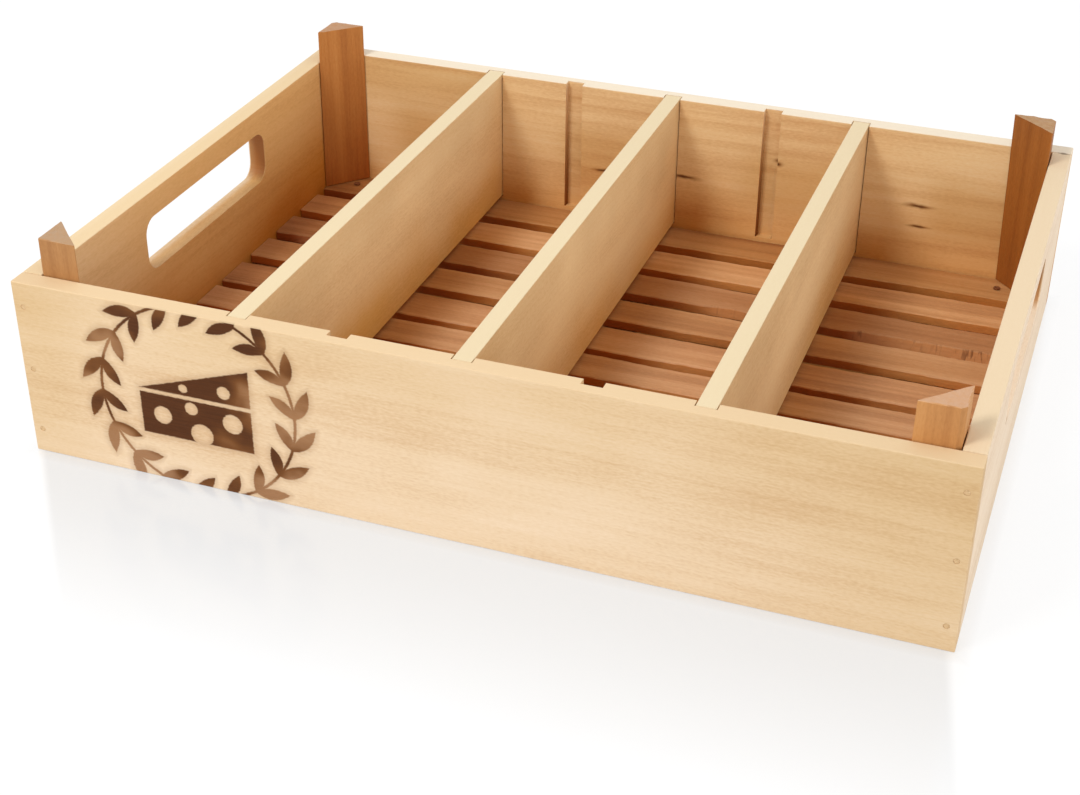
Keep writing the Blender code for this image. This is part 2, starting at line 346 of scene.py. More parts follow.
def edge_distance(s, point, box):
    """How far a point on a board's surface is from the board's nearest edge."""
    low, high = box
    from_middle = s.vector_math("SUBTRACT", point, (high + low) / 2)
    inside = s.vector_math("SUBTRACT", (high - low) / 2, s.vector_math("ABSOLUTE", from_middle))
    x, y, z = s.separate(inside)
    return s.highest(s.lowest(x, y), s.lowest(s.highest(x, y), z))


def wood_material(name, wood, grain, offset, box, paints=()):
    """A board's wood. Each paint takes the shader, the point and the colour, and returns the new colour."""
    s = Shader(bpy.data.materials.new(name))
    point, normal = s.place()
    grain_point = grain_space(s, point, grain, offset)
    tone, fibres = wood_tone(s, grain_point, wood)
    colour = s.ramp(tone, [(0.0, shade(wood.light)), (0.5, shade(wood.middle)), (1.0, shade(wood.dark))])

    facing = s.separate(normal)["XYZ".index(grain[0])]
    end_face = s.step(s.math("ABSOLUTE", facing), 0.6, 0.9)
    pores = s.step(s.noise(grain_point, PORE_NOISE, 3.0), 0.2, 0.8)
    cut_end = s.mix(s.product(pores, PORE_STRENGTH), shade(wood.end_grain), shade(wood.middle))
    colour = s.mix(end_face, colour, cut_end)

    ragged = s.product(s.noise(point, RUBBED_NOISE, 3.0), RUBBED_RAGGEDNESS)
    from_edge = s.total(edge_distance(s, point, box), ragged)
    rubbed = s.step(from_edge, *RUBBED_WIDTH, wood.wear, 0.0)
    colour = s.mix(rubbed, colour, shade(wood.light))

    for paint in paints:
        colour = paint(s, point, colour)

    s.feed(s.surface.inputs["Base Color"], colour)
    s.feed(s.surface.inputs["Roughness"], s.math("MULTIPLY_ADD", fibres, FIBRE_ROUGHNESS, wood.roughness))
    s.surface.inputs["Specular IOR Level"].default_value = wood.gloss
    s.bump(fibres, wood.relief)
    return s.owner


def flat_place(s, point, centre):
    """A point of the front face as (to the right, up) from a centre, as a vector without depth."""
    x, _, z = s.separate(point)
    return s.combine(s.minus(x, centre[0]), s.minus(z, centre[1]), 0.0)


# The burned mark on the front panel: a wreath of leaves round a wedge of cheese
MARK_CENTRE = (-0.1167, 0.0410)
WREATH_RADIUS = 0.0450
WREATH_SPRIGS = 18
LEAF_HALF_LENGTH = 0.0080
LEAF_HALF_WIDTH = 0.0027
LEAF_LEAN = math.radians(38)
LEAF_OFFSET = 0.0042
STEM_HALF_WIDTH = 0.0007
WEDGE_LEFT = -0.0270
WEDGE_RIGHT = 0.0250
WEDGE_FOOT = -0.0190
WEDGE_SHOULDER = 0.0010
WEDGE_PEAK = 0.0185
WEDGE_SPLIT = 0.0018
CHEESE_HOLES = [
    (-0.0170, -0.0090, 0.0042),
    (-0.0030, -0.0030, 0.0030),
    (0.0010, -0.0150, 0.0052),
    (0.0160, -0.0065, 0.0046),
    (0.0130, 0.0080, 0.0030),
    (-0.0060, 0.0062, 0.0020),
]
# The burn: its edge, the scorched halo round it, where the iron pressed, and the depth that it reaches
BURN_SOFTNESS = 0.00035
BURN_EDGE_NOISE = (420.0, 420.0, 1500.0)
BURN_RAGGEDNESS = 0.00045
BURN_HALO_WIDTH = 0.0035
BURN_HALO_STRENGTH = 0.22
BURN_PRESSURE_NOISE = (24.0, 24.0, 30.0)
BURN_GRAIN_NOISE = (60.0, 500.0, 1400.0)
BURN_FLOOR = (-0.1494, -0.1490)
BURN_DARK = "40220E"
BURN_WARM = "5E3316"
BURN_LIGHT = "8E5A2E"


def disc(s, flat, centre, radius):
    """Depth inside a disc, negative outside."""
    distance = s.vector_math("DISTANCE", flat, (*centre, 0.0))
    return s.minus(radius, distance)


def side_of(s, flat, point, normal):
    """Depth behind a straight line through a point, whose normal points out."""
    reach = point[0] * normal[0] + point[1] * normal[1]
    return s.minus(reach, s.vector_math("DOT_PRODUCT", flat, (*normal, 0.0)))


def leaf(s, x, y, centre_y, lean):
    """Depth inside a pointed leaf that leans from the stem."""
    cosine, sine = math.cos(lean), math.sin(lean)
    y = s.minus(y, centre_y)
    along = s.total(s.product(x, cosine), s.product(y, sine))
    aside = s.total(s.product(x, -sine), s.product(y, cosine))
    share = s.math("POWER", s.math("DIVIDE", along, LEAF_HALF_LENGTH), 2.0)
    half_width = s.math("MULTIPLY_ADD", share, -LEAF_HALF_WIDTH, LEAF_HALF_WIDTH)
    return s.minus(half_width, s.math("ABSOLUTE", aside))


def wreath(s, flat):
    """Depth inside a round stem with a pair of leaves in each sprig."""
    x, y, _ = s.separate(flat)
    radius = s.vector_math("LENGTH", flat)
    angle = s.math("ARCTAN2", y, x)
    sprig = s.math("FRACT", s.product(angle, WREATH_SPRIGS / math.tau))
    pitch = math.tau * WREATH_RADIUS / WREATH_SPRIGS
    along = s.math("MULTIPLY_ADD", sprig, pitch, -pitch / 2)
    out = s.minus(radius, WREATH_RADIUS)
    stem = s.minus(STEM_HALF_WIDTH, s.math("ABSOLUTE", out))
    outer = leaf(s, along, out, LEAF_OFFSET, LEAF_LEAN)
    inner = leaf(s, along, out, -LEAF_OFFSET, -LEAF_LEAN)
    return s.highest(stem, outer, inner)


def cheese_wedge(s, flat):
    """Depth inside a wedge of cheese with holes: a rind block and the sloping top above a thin split."""
    x, y, _ = s.separate(flat)
    across = s.lowest(s.minus(x, WEDGE_LEFT), s.minus(WEDGE_RIGHT, x))
    block = s.lowest(across, s.minus(y, WEDGE_FOOT), s.minus(WEDGE_SHOULDER, y))
    rise = WEDGE_PEAK - WEDGE_SHOULDER
    run = WEDGE_RIGHT - WEDGE_LEFT
    slope = math.hypot(rise, run)
    above = s.minus(y, WEDGE_SHOULDER + WEDGE_SPLIT)
    under_slope = side_of(s, flat, (WEDGE_LEFT, WEDGE_SHOULDER + WEDGE_SPLIT), (-rise / slope, run / slope))
    top = s.lowest(across, above, under_slope)
    body = s.highest(block, top)
    for x_hole, y_hole, radius in CHEESE_HOLES:
        body = s.lowest(body, s.product(disc(s, flat, (x_hole, y_hole), radius), -1.0))
    return body


def burned_mark(s, point, colour):
    """Burns the mark into the outer face of the front panel, darker where the iron pressed harder."""
    flat = flat_place(s, point, MARK_CENTRE)
    depth = s.highest(wreath(s, flat), cheese_wedge(s, flat))
    depth = s.total(depth, s.drift(point, BURN_EDGE_NOISE, 3.0, BURN_RAGGEDNESS))
    burned = s.step(depth, -BURN_SOFTNESS, BURN_SOFTNESS)
    halo = s.step(depth, -BURN_HALO_WIDTH, 0.0, 0.0, BURN_HALO_STRENGTH)
    outside = s.step(s.separate(point)[1], *BURN_FLOOR, 1.0, 0.0)
    pressure = s.step(s.noise(point, BURN_PRESSURE_NOISE, 3.0), 0.36, 0.60)
    grain_shows = s.noise(point, BURN_GRAIN_NOISE, 3.0)
    scorched = s.mix(grain_shows, shade(BURN_DARK), shade(BURN_WARM))
    burn_colour = s.mix(pressure, shade(BURN_LIGHT), scorched)
    strength = s.product(burned, s.step(pressure, 0.0, 0.6, 0.80, 0.99))
    colour = s.mix(s.product(halo, outside), colour, shade(BURN_LIGHT))
    return s.mix(s.product(strength, outside), colour, burn_colour)


# Dark streaks on the inner face of the back panel: (x, z, half length, half height)
STREAKS = [
    (-0.036, 0.037, 0.0060, 0.0010),
    (0.008, 0.0405, 0.0085, 0.0011),
    (0.0575, 0.0555, 0.0026, 0.0013),
    (0.131, 0.044, 0.0070, 0.0012),
    (0.132, 0.033, 0.0055, 0.0008),
]
STREAK_SWAY = 0.14
STREAK_SWAY_NOISE = (120.0, 90.0, 260.0)
STREAK_WIDTH_NOISE = (160.0, 60.0, 60.0)
# Each shade of a streak, its strength and where it starts and stops to fade, in half heights
STREAK_SHADES = [("9E672F", 0.75, 0.4, 1.6), ("54290C", 0.85, 0.2, 0.9)]


def streaks(s, point, colour):
    """Small knots and mineral streaks along the grain, brown round a darker core."""
    x, _, z = s.separate(point)
    wander = s.drift(point, STREAK_SWAY_NOISE, 3.0, 1.0)
    thick = s.math("MULTIPLY_ADD", s.noise(point, STREAK_WIDTH_NOISE, 3.0), 1.6, 0.2)
    for x_middle, z_middle, half_length, half_height in STREAKS:
        along = s.math("DIVIDE", s.minus(x, x_middle), half_length)
        sway = s.product(wander, STREAK_SWAY * half_length)
        up = s.math("DIVIDE", s.total(s.minus(z, z_middle), sway), half_height)
        reach = s.vector_math("LENGTH", s.combine(along, s.math("DIVIDE", up, thick), 0.0))
        for code, strength, start, end in STREAK_SHADES:
            colour = s.mix(s.step(reach, start, end, strength, 0.0), colour, shade(code))
    return colour


# The front panel's quiet figure, the back panel's livelier one and the right end panel's paler one
FRONT_FIGURE = {
    "light": "F3DDC3", "middle": "E8CDAA", "dark": "D0A97D",
    "ring_strength": 0.05, "fibre_strength": 0.32, "patch_strength": 0.8, "band_strength": 0.5,
    "gloss": 0.1,
}
BACK_FIGURE = {
    "light": "F3DCB2", "middle": "E8C591", "dark": "C9935C",
    "ring_strength": 0.09, "fleck_strength": 0.35, "patch_strength": 0.8, "band_strength": 0.7,
    "band_width": 0.007,
}
RIGHT_FIGURE = {"light": "F4E0C8", "middle": "EAD2B4", "dark": "D6B48E"}

# The paints. Each pair of numbers is where a soft limit starts and where it ends
TINT_NOISE = (14.0, 14.0, 14.0)
TINT_DRIFT = 0.03
FRONT_TAN = "F5F0E4"
# Painted shade on the back panel's inner face, darker towards its foot
BACK_FOOT_PAINTED_SHADE = "F2DAB8"
# Painted shade on the left end panel's inner face: darker towards the back, towards its foot and in the
# corner by the back post
LEFT_BACK_PAINTED_SHADE = "F3DAAF"
LEFT_FOOT_PAINTED_SHADE = "E8C682"
LEFT_CORNER_PAINTED_SHADE = "F3DA95"
DIVIDER_TOP_TINT = "E5DED6"
# Painted shade on each divider, darker towards its foot
DIVIDER_FOOT_PAINTED_SHADES = {"left_divider": "F2DDA8", "middle_divider": "F8E7C4", "right_divider": "FCEFD0"}
# The dividers, and the painted shade on the back panel between them and beside their feet
DIVIDER_PITCH = 0.09755
DIVIDER_THICKNESS = 0.0082
COMPARTMENT_NOISE = (30.0, 60.0, 60.0)
WALL_SWAY = 0.05
WALL_BAND_PAINTED_SHADE = "EFE5D4"
WALL_BAND_BOTTOM = (0.020, 0.036)
WALL_BAND_TOP = (0.068, 0.050)
WALL_BAND_START = (0.34, 0.56)
WALL_FOOT_PAINTED_SHADE = "E6CBA0"
WALL_FOOT_TOP = (0.036, 0.012)
WALL_FOOT_END = (0.34, 0.20)
# The hand hole's straight walls, in the end panels' Y and Z, and the depth of their painted shade
HOLE_FRONT = -0.060
HOLE_BACK = 0.056
HOLE_FOOT = 0.0445
HOLE_TOP = 0.0705
HOLE_CURVE = 0.008
HOLE_EASE = 0.001
HOLE_SKIN = 0.0002
HOLE_SKIN_EASE = 0.0005
HOLE_WALL_PAINTED_SHADE = "C8A680"
# The grooves of the long panels, and the reach of the painted shade on their walls
GROOVE_PLACES = (-0.0976, -0.053, 0.0, 0.053, 0.0976)
GROOVE_HALF_WIDTH = 0.0045
GROOVE_DEPTH = 0.0042
GROOVE_SKIN = 0.0003
GROOVE_SKIN_EASE = 0.0002
GROOVE_WALL_REACH = 0.0009
GROOVE_WALL_EASE = 0.0005
GROOVE_WALL_PAINTED_SHADE = "B48E60"
# The painted shadow in the gap at the joint of the back panel and the right end panel
JOINT_SHADOW_PLACE = (0.1965, 0.1405, 0.083)
JOINT_SHADOW_STRETCH = (1.0, 2.2, 1.0)
JOINT_SHADOW_NOISE = (500.0, 900.0, 500.0)
JOINT_SHADOW_RAGGEDNESS = 0.0015
JOINT_SHADOW_REACH = (0.0010, 0.0034)
JOINT_SHADOW_STRENGTH = 0.75
JOINT_SHADOW_COLOUR = "6E5A40"
# The planed top edges: how far below the top they start and are full, and their shades
PLANED_DEPTHS = (0.0005, 0.0001)
PLANED_STRENGTH = 0.85
PLANED_SHADES = {
    "front_panel": "E0C49C",
    "back_panel": "EDE1CC",
    "left_end_panel": "E3CAA0",
    "right_end_panel": "E3CBA6",
}
DIVIDER_PLANED_SHADE = "E3D1AC"
# The number of the first board of each kind
DIVIDER_NUMBER = 10
BEARER_NUMBER = 20
POST_NUMBER = 30
SLAT_NUMBER = 40


def tinted(axis, start, end, tint):
    """A paint that takes a board's colour towards a tint while one coordinate goes from start to end."""
    def paint(s, point, colour):
        value = s.separate(point)["XYZ".index(axis)]
        drift = s.drift(point, TINT_NOISE, 2.0, TINT_DRIFT)
        share = s.step(s.total(value, drift), start, end)
        return s.tint(share, colour, tint)
    return paint


def corner_tinted(tint, **limits):
    """A paint that takes a board's colour towards a tint in a corner, with a soft limit along each axis."""
    def paint(s, point, colour):
        axes = dict(zip("xyz", s.separate(point)))
        share = s.product(*(s.step(axes[axis], *limit) for axis, limit in limits.items()))
        return s.tint(share, colour, tint)
    return paint


def kept_inside(name, paint):
    """A paint that leaves a wall board's outer face as it is."""
    low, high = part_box(name)
    axis = 0 if high.x - low.x < high.y - low.y else 1
    inner, outer = sorted((low[axis], high[axis]), key=abs)

    def inner_paint(s, point, colour):
        depth = s.math("DIVIDE", s.minus(s.separate(point)[axis], outer), inner - outer)
        return s.mix(s.step(depth, 0.1, 0.5), colour, paint(s, point, colour))
    return inner_paint


def compartment_share(s, point, sway):
    """How far a point lies from the left face of one divider, 0, to that of the next, 1, with some sway.

    The second value fades from 1 to 0 below the divider, and the paints follow it from one side to the other.
    """
    x = s.separate(point)[0]
    start = 2 * DIVIDER_PITCH + DIVIDER_THICKNESS / 2
    share = s.math("FRACT", s.math("DIVIDE", s.total(x, start), DIVIDER_PITCH))
    below = s.step(share, 0.0, DIVIDER_THICKNESS / DIVIDER_PITCH, 1.0, 0.0)
    return s.total(share, s.drift(point, COMPARTMENT_NOISE, 2.0, sway)), below


def wall_painted_shade(s, point, colour):
    """Painted shade on the back panel: half way up between the dividers, and low down beside each of them."""
    z = s.separate(point)[2]
    share, below = compartment_share(s, point, WALL_SWAY)
    between = s.highest(s.step(share, *WALL_BAND_START), below)
    band = s.product(s.step(z, *WALL_BAND_BOTTOM), s.step(z, *WALL_BAND_TOP), between)
    beside = s.product(s.step(z, *WALL_FOOT_TOP), s.step(share, *WALL_FOOT_END))
    return s.tint(beside, s.tint(band, colour, WALL_BAND_PAINTED_SHADE), WALL_FOOT_PAINTED_SHADE)


def within(s, value, low, high, ease):
    """1 where a value lies between two limits, with soft ends inside them."""
    return s.product(s.step(value, low, low + ease), s.step(value, high, high - ease))


def shaded_hole_walls(name):
    """A paint for the end and top walls of a hand hole: painted shade, darker than the sill."""
    low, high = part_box(name)

    def paint(s, point, colour):
        x, y, z = s.separate(point)
        beside = s.highest(
            s.step(y, HOLE_BACK - HOLE_CURVE, HOLE_BACK - HOLE_EASE),
            s.step(y, HOLE_FRONT + HOLE_CURVE, HOLE_FRONT + HOLE_EASE),
            s.step(z, HOLE_TOP - HOLE_CURVE, HOLE_TOP - HOLE_EASE),
        )
        share = s.product(
            beside,
            within(s, y, HOLE_FRONT - 2 * HOLE_EASE, HOLE_BACK + 2 * HOLE_EASE, HOLE_EASE),
            within(s, z, HOLE_FOOT - 2 * HOLE_EASE, HOLE_TOP + 2 * HOLE_EASE, HOLE_EASE),
            within(s, x, low.x + HOLE_SKIN, high.x - HOLE_SKIN, HOLE_SKIN_EASE),
        )
        return s.tint(share, colour, HOLE_WALL_PAINTED_SHADE)
    return paint


def shaded_groove_walls(name):
    """A paint for the walls of a long panel's grooves: painted shade, darker than the panel."""
    low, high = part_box(name)
    inner = low.y if low.y > 0 else high.y

    def paint(s, point, colour):
        x, y, z = s.separate(point)
        depth = s.math("ABSOLUTE", s.minus(y, inner))
        in_groove = s.product(
            within(s, depth, GROOVE_SKIN, GROOVE_DEPTH + GROOVE_SKIN, GROOVE_SKIN_EASE),
            s.step(z, high.z, low.z),
        )
        nearest = GROOVE_HALF_WIDTH - GROOVE_WALL_REACH
        farthest = GROOVE_HALF_WIDTH + GROOVE_WALL_REACH
        for middle in GROOVE_PLACES:
            from_middle = s.math("ABSOLUTE", s.minus(x, middle))
            wall = within(s, from_middle, nearest, farthest, GROOVE_WALL_EASE)
            colour = s.tint(s.product(wall, in_groove), colour, GROOVE_WALL_PAINTED_SHADE)
        return colour
    return paint


def joint_gap_shadow(s, point, colour):
    """A small painted shadow on the edges where the back panel meets the right end panel, as in a gap between
    them.
    """
    from_shadow = s.vector_math("MULTIPLY", s.vector_math("SUBTRACT", point, JOINT_SHADOW_PLACE), JOINT_SHADOW_STRETCH)
    ragged = s.drift(point, JOINT_SHADOW_NOISE, 3.0, JOINT_SHADOW_RAGGEDNESS)
    distance = s.total(s.vector_math("LENGTH", from_shadow), ragged)
    return s.mix(s.step(distance, *JOINT_SHADOW_REACH, JOINT_SHADOW_STRENGTH, 0.0), colour, shade(JOINT_SHADOW_COLOUR))


def planed_edge(name):
    """A paint for the pale planed top edge of a board."""
    start, full = (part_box(name)[1].z - depth for depth in PLANED_DEPTHS)

    def paint(s, point, colour):
        share = s.step(s.separate(point)[2], start, full, 0.0, PLANED_STRENGTH)
        return s.mix(share, colour, shade(PLANED_SHADES.get(name, DIVIDER_PLANED_SHADE)))
    return paint


def board_offset(number):
    """A place in the tree for each board, so that no two show the same grain."""
    return (0.37 * number, 0.011 * (number % 5), 0.013 * (number % 7))


def dress(name, wood_name, grain, number, paints=(), **changes):
    """Gives a CAD board its wood."""
    wood = replace(WOODS[wood_name], **changes)
    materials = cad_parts[name].data.materials
    material = wood_material(name + "_wood", wood, grain, board_offset(number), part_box(name), paints)
    materials.clear()
    materials.append(material)


def dress_boards():
    front_paints = [
        tinted("Z", 0.020, 0.085, FRONT_TAN),
        tinted("X", 0.080, 0.200, FRONT_TAN),
        tinted("X", -0.150, -0.200, FRONT_TAN),
        burned_mark,
        shaded_groove_walls("front_panel"),
        planed_edge("front_panel"),
    ]
    dress("front_panel", "panel_wood", "XZY", 1, front_paints, **FRONT_FIGURE)
    # The back panel's inner face gets painted shade at its foot, between and beside the dividers, and in the
    # upper part of the left compartment
    back_paints = [
        kept_inside("back_panel", tinted("Z", 0.060, 0.0, BACK_FOOT_PAINTED_SHADE)),
        kept_inside("back_panel", wall_painted_shade),
        kept_inside("back_panel", corner_tinted(WALL_BAND_PAINTED_SHADE, x=(-0.085, -0.110), z=(0.052, 0.072))),
        streaks,
        shaded_groove_walls("back_panel"),
        planed_edge("back_panel"),
        joint_gap_shadow,
    ]
    dress("back_panel", "panel_wood", "XZY", 2, back_paints, **BACK_FIGURE)
    # The left end panel's inner face gets painted shade towards the back, at its foot and in the corner by
    # the back post
    left_paints = [
        kept_inside("left_end_panel", tinted("Y", -0.25, 0.00, LEFT_BACK_PAINTED_SHADE)),
        kept_inside("left_end_panel", tinted("Z", 0.050, 0.0, LEFT_FOOT_PAINTED_SHADE)),
        kept_inside("left_end_panel", corner_tinted(LEFT_CORNER_PAINTED_SHADE, y=(0.030, 0.115), z=(0.060, 0.020))),
        shaded_hole_walls("left_end_panel"),
        planed_edge("left_end_panel"),
    ]
    dress("left_end_panel", "panel_wood", "YZX", 3, left_paints)
    right_paints = [shaded_hole_walls("right_end_panel"), planed_edge("right_end_panel"), joint_gap_shadow]
    dress("right_end_panel", "panel_wood", "YZX", 4, right_paints, **RIGHT_FIGURE)
    for number, side in enumerate(("left", "middle", "right")):
        name = side + "_divider"
        paints = [
            tinted("Z", 0.045, 0.085, DIVIDER_TOP_TINT),
            # Painted shade, darker towards the divider's foot
            tinted("Z", 0.048, 0.008, DIVIDER_FOOT_PAINTED_SHADES[name]),
            planed_edge(name),
        ]
        dress(name, "divider_wood", "YZX", DIVIDER_NUMBER + number, paints)
        dress(side + "_bearer", "bearer_wood", "YXZ", BEARER_NUMBER + number)


def wave(x, length, seed):
    """A smooth wave from -1 to 1 along x, its own for each seed."""
    return noise.noise(Vector((x / length, seed * 7.31, seed * 1.7)))


def new_object(name, data):
    item = bpy.data.objects.new(name, data)
    bpy.context.scene.collection.objects.link(item)
    return item


def mesh_object(name, bm):
    """A new object with the mesh of bm, which is freed."""
    mesh = bpy.data.meshes.new(name)
    bm.to_mesh(mesh)
    bm.free()
    return new_object(name, mesh)


def loft(name, sections):
    """A closed mesh through sections of equally many points."""
    bm = bmesh.new()
    rings = [[bm.verts.new(point) for point in section] for section in sections]
    for ring, following in zip(rings, rings[1:]):
        for i in range(len(ring)):
            j = (i + 1) % len(ring)
            bm.faces.new((ring[i], ring[j], following[j], following[i]))
    bm.faces.new(list(reversed(rings[0])))
    bm.faces.new(rings[-1])
    bmesh.ops.recalc_face_normals(bm, faces=bm.faces)
    return mesh_object(name, bm)


# Rough sawn corner posts
POST_NAMES = ["front_left_post", "front_right_post", "back_left_post", "back_right_post"]
# Each post's shades: light, middle, dark and end grain
POST_SHADES = {
    "front_left_post": ("C89C6B", "B68350", "966337", "AE8E6E"),
    "front_right_post": ("DAA66E", "C68C52", "A46A38", "C99E7C"),
    "back_left_post": ("CE904E", "B67538", "945424", "B58C6A"),
    "back_right_post": ("B5712F", "9A5A20", "763C10", "B38E66"),
}
# Painted shade at the foot of the back left post, darker towards the floor
POST_FOOT_PAINTED_SHADES = {"back_left_post": "F3CE89"}
POST_STEP = 0.0022
# The cut of each post's outer corner, and of the one that is nearly sharp
POST_CORNER_CUT = 0.0022
POST_SHARP_CORNER = {"front_left_post": 0.0006}
POST_TIP_CUT = 0.0005
POST_SIDE_POINTS = 8
POST_SWAY = 0.0002
POST_SWAY_SHIFT = 0.0045
POST_SWAY_LENGTH = 0.030
POST_TOP_RINGS = (0.95, 0.78, 0.6, 0.42, 0.24, 0.08)
POST_TOP_ROUGH = 0.0005
POST_TOP_ROUGH_LENGTH = 0.004
POST_TOP_LEAN = 0.3
POST_TOP_CHANGE = 40
POST_TOP_EASE = 0.0004
# A post's extra leg length along the end panel at its foot, and the share of that at its top
POST_FLARE = {"back_left_post": 0.0018, "front_left_post": 0.0004}
POST_FLARE_AT_TOP = 0.4
# A post's extra leg length along the long panel at its top, and how many times that is lost at its foot
POST_SPREAD = {"back_right_post": 0.0020}
POST_SPREAD_LOSS = 1.4


def post_outline(name, z, seed):
    """The post's rough three sided outline at a height, as (x, y) points."""
    low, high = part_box(name)
    side_x, side_y = (1 if (a + b) > 0 else -1 for a, b in zip(low.xy, high.xy))
    outer = Vector((high.x if side_x > 0 else low.x, high.y if side_y > 0 else low.y))
    foot_share = (high.z - z) / (high.z - low.z)
    leg_x = high.x - low.x + POST_SPREAD.get(name, 0.0) * (1 - POST_SPREAD_LOSS * foot_share)
    flare_share = POST_FLARE_AT_TOP + (1 - POST_FLARE_AT_TOP) * foot_share
    leg_y = high.y - low.y + POST_FLARE.get(name, 0.0) * flare_share
    along_x, along_y = Vector((-side_x, 0.0)), Vector((0.0, -side_y))
    slant = (along_y * leg_y - along_x * leg_x).normalized()
    corner_cut = POST_SHARP_CORNER.get(name, POST_CORNER_CUT)
    corners = [
        outer + along_y * corner_cut,
        outer + along_x * corner_cut,
        outer + along_x * (leg_x - POST_TIP_CUT),
        outer + along_x * leg_x + slant * POST_TIP_CUT,
        outer + along_y * leg_y - slant * POST_TIP_CUT,
        outer + along_y * (leg_y - POST_TIP_CUT),
    ]
    middle = sum(corners, Vector((0.0, 0.0))) / len(corners)
    points = []
    for i, corner in enumerate(corners):
        following = corners[(i + 1) % len(corners)]
        long_side = (following - corner).length > 2 * POST_CORNER_CUT
        count = POST_SIDE_POINTS if long_side else 1
        for k in range(count):
            point = corner.lerp(following, k / count)
            inward = (middle - point).normalized()
            sway = POST_SWAY * (1 + wave(z + k * POST_SWAY_SHIFT, POST_SWAY_LENGTH, seed + i))
            points.append(point + inward * sway)
    return points


def post_top_ring(rim, share, top, seed):
    """The rough top's points at a share of the way from its middle to its rim."""
    middle = sum(rim, Vector((0.0, 0.0))) / len(rim)
    ring = []
    for point in rim:
        x, y = middle.lerp(point, share)
        change = seed + POST_TOP_CHANGE * y
        up = POST_TOP_ROUGH * wave(x + POST_TOP_LEAN * y, POST_TOP_ROUGH_LENGTH, change)
        ring.append((x, y, top - POST_TOP_ROUGH / 2 + up))
    return ring


def rough_post(name, number):
    """A post as it came from the saw, in place of the CAD one."""
    low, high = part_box(name)
    count = round((high.z - low.z) / POST_STEP)
    shoulder = high.z - POST_TOP_EASE
    sections = []
    for i in range(count + 1):
        z = low.z + (shoulder - low.z) * i / count
        sections.append([(x, y, z) for x, y in post_outline(name, z, number)])
    rim = post_outline(name, high.z, number)
    sections += [post_top_ring(rim, share, high.z, number) for share in POST_TOP_RINGS]
    item = loft("rough_" + name, sections)
    light, middle, dark, end_grain = POST_SHADES[name]
    wood = replace(WOODS["post_wood"], light=light, middle=middle, dark=dark, end_grain=end_grain)
    paints = [tinted("Z", 0.050, 0.010, POST_FOOT_PAINTED_SHADES[name])] if name in POST_FOOT_PAINTED_SHADES else []
    offset = board_offset(POST_NUMBER + number)
    item.data.materials.append(wood_material(item.name, wood, "ZXY", offset, (low, high), paints))
    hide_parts(name)
    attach(item, "crate")


# Rough sawn slats
SLAT_NAMES = ["floor_slat_front"] + [f"floor_slat_{n:02d}" for n in range(2, 10)] + ["floor_slat_back"]
SLAT_STEP = 0.0012
SLAT_TRIM = 0.0013
SLAT_TOP_POINTS = 7
SLAT_EASE = 0.0005
EDGE_SWAY = 0.0008
EDGE_SWAY_LENGTH = 0.045
EDGE_CHIP = 0.00040
EDGE_CHIP_LENGTH = 0.0060
TOP_SWAY = 0.00012
TOP_RIPPLE = 0.00006
TOP_RIPPLE_LENGTH = 0.012
TOP_RIPPLE_LEAN = 3
# What is added to a slat's number for each of its waves
FRONT_SEED = 0.2
BACK_SEED = 0.6
TOP_SEED = 0.9
# Slats that were sawn off their line: how far each edge stands out, front and back
SLAT_SPREAD = {"floor_slat_05": (-0.0020, 0.0012), "floor_slat_06": (0.0012, 0.0)}
# The painted shade on the slats' sides in the gaps: where it starts below the top, and its tints beside a
# divider and away from it
SLAT_SIDE_TOP = (-0.0004, 0.0002)
SLAT_SIDE_NOISE = (120.0, 120.0, 120.0)
SLAT_SIDE_RAGGEDNESS = 0.0010
SLAT_SIDE_SWAY = 0.15
SLAT_SIDE_AWAY = (0.24, 0.52)
SLAT_SIDE_DARK = "E7AC56"
SLAT_SIDE_PALE = "FFE6B8"
# The painted shade on the right of each divider: its limits to the right, to the back and to the left end
SLAT_FOOT_PAINTED_SHADE = "E9D1A2"
SLAT_FOOT_SWAY = 0.05
SLAT_FOOT_RIGHT = (0.46, 0.14)
SLAT_FOOT_BACK = (0.130, 0.080)
SLAT_FOOT_LEFT = (-0.110, -0.098)
# Painted shade on the slats, darker towards the left end
SLAT_LEFT_PAINTED_SHADE = "F0E2D0"
# The tint of each slat that came from another tree
SLAT_TINTS = {
    "floor_slat_front": "EFE6DC",
    "floor_slat_03": "F4EEE6",
    "floor_slat_05": "F4F5FF",
    "floor_slat_06": "F5F3FA",
    "floor_slat_07": "EBE6E3",
    "floor_slat_08": "DBD0CB",
    "floor_slat_back": "E4DAC2",
}
# The slat whose front edge still has torn wane, as stretches of (start, end, depth)
WANE_SLAT = "floor_slat_08"
WANE_STRETCHES = [(-0.185, -0.150, 0.6), (-0.030, 0.000, 0.5), (0.040, 0.072, 0.6), (0.112, 0.192, 1.0)]
WANE_SLOPE = 0.0018
WANE_FOOT = 0.0008
WANE_RIDGE = 0.0005
WANE_RIDGE_LENGTH = 0.0035
WANE_FADE = 0.010
# Its torn fibres: how far they reach behind the edge, the cracks between them, and their shades
TORN_REACH = (0.0030, 0.0018)
TORN_CRACK_NOISE = (750.0, 90.0, 90.0)
TORN_CLUMP_NOISE = (70.0, 10.0, 10.0)
TORN_LENGTH_NOISE = (420.0, 15.0, 15.0)
TORN_LENGTH_RANGE = (-0.014, 0.003)
TORN_LENGTH_EASE = 0.0012
TORN_PALE = "D0A070"
TORN_DARK = "6C3C18"


def wane(name, x):
    """How much of the front edge is torn away at a place along the slat, from 0 to 1."""
    if name != WANE_SLAT:
        return 0.0
    depth = 0.0
    for start, end, full in WANE_STRETCHES:
        inside = min(x - start, end - x) / WANE_FADE
        depth = max(depth, full * min(max(inside, 0.0), 1.0))
    return depth


def edge_wave(x, seed):
    """How far a slat's edge strays at a place along it."""
    return EDGE_SWAY * wave(x, EDGE_SWAY_LENGTH, seed) + EDGE_CHIP * wave(x, EDGE_CHIP_LENGTH, seed)


